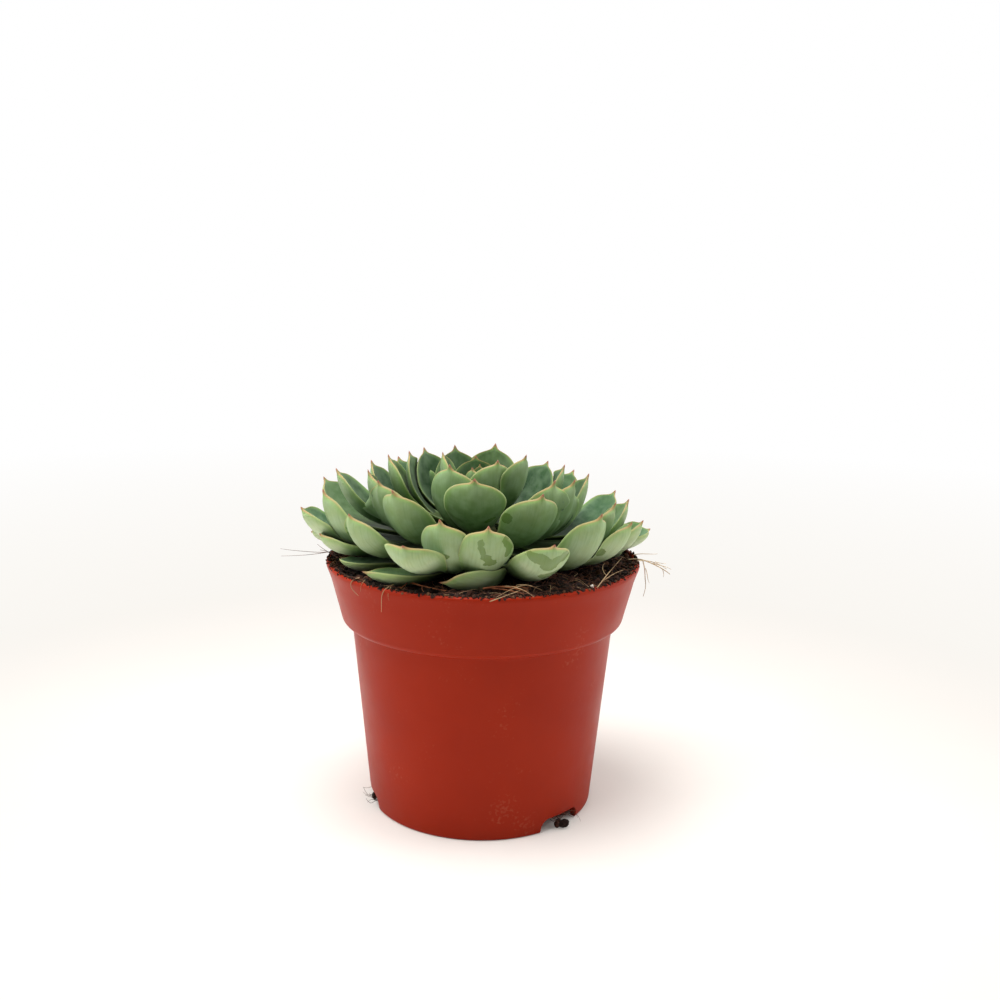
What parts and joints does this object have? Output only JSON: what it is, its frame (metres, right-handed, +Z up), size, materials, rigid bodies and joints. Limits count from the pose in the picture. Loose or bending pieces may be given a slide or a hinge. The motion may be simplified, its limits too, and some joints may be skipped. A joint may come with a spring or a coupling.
{
  "type": "potted succulent",
  "caption": "Rosette succulent with fleshy pointed leaves, rooted in soil in a round plastic nursery pot with a deep collar and drainage notches.",
  "frame": {"origin": "centre of the pot's foot ring, on the surface that the pot stands on", "axes": "+Z up along the pot's axis, -Y the front, +X to the right as seen from the front"},
  "size_m": [0.1186, 0.1065, 0.1204],
  "materials": {
    "pot_plastic": "moulded, satin",
    "soil": "moist fibrous peat",
    "stem": "matte, ringed with leaf scars",
    "leaf": "waxy bloom, satin"
  },
  "bodies": {
    "root": {"pot": "pot_plastic", "soil": "soil", "stem": "stem", "heart": "leaf", "leaf_01": "leaf", "leaf_02": "leaf", "leaf_03": "leaf", "leaf_04": "leaf", "leaf_05": "leaf", "leaf_06": "leaf", "leaf_07": "leaf", "leaf_08": "leaf", "leaf_09": "leaf", "leaf_10": "leaf", "leaf_11": "leaf", "leaf_12": "leaf", "leaf_13": "leaf", "leaf_14": "leaf", "leaf_15": "leaf", "leaf_16": "leaf", "leaf_17": "leaf", "leaf_18": "leaf", "leaf_19": "leaf", "leaf_20": "leaf", "leaf_21": "leaf", "leaf_22": "leaf", "leaf_23": "leaf", "leaf_24": "leaf", "leaf_25": "leaf", "leaf_26": "leaf", "leaf_27": "leaf", "leaf_28": "leaf", "leaf_29": "leaf", "leaf_30": "leaf", "leaf_31": "leaf", "leaf_32": "leaf", "leaf_33": "leaf", "leaf_34": "leaf", "leaf_35": "leaf", "leaf_36": "leaf", "leaf_37": "leaf", "leaf_38": "leaf", "leaf_39": "leaf", "leaf_40": "leaf", "leaf_41": "leaf", "leaf_42": "leaf", "leaf_43": "leaf", "leaf_44": "leaf", "leaf_45": "leaf", "leaf_46": "leaf", "leaf_47": "leaf", "leaf_48": "leaf", "leaf_49": "leaf", "leaf_50": "leaf", "leaf_51": "leaf", "leaf_52": "leaf", "leaf_53": "leaf", "leaf_54": "leaf", "leaf_55": "leaf", "leaf_56": "leaf"}
  },
  "joints": []
}
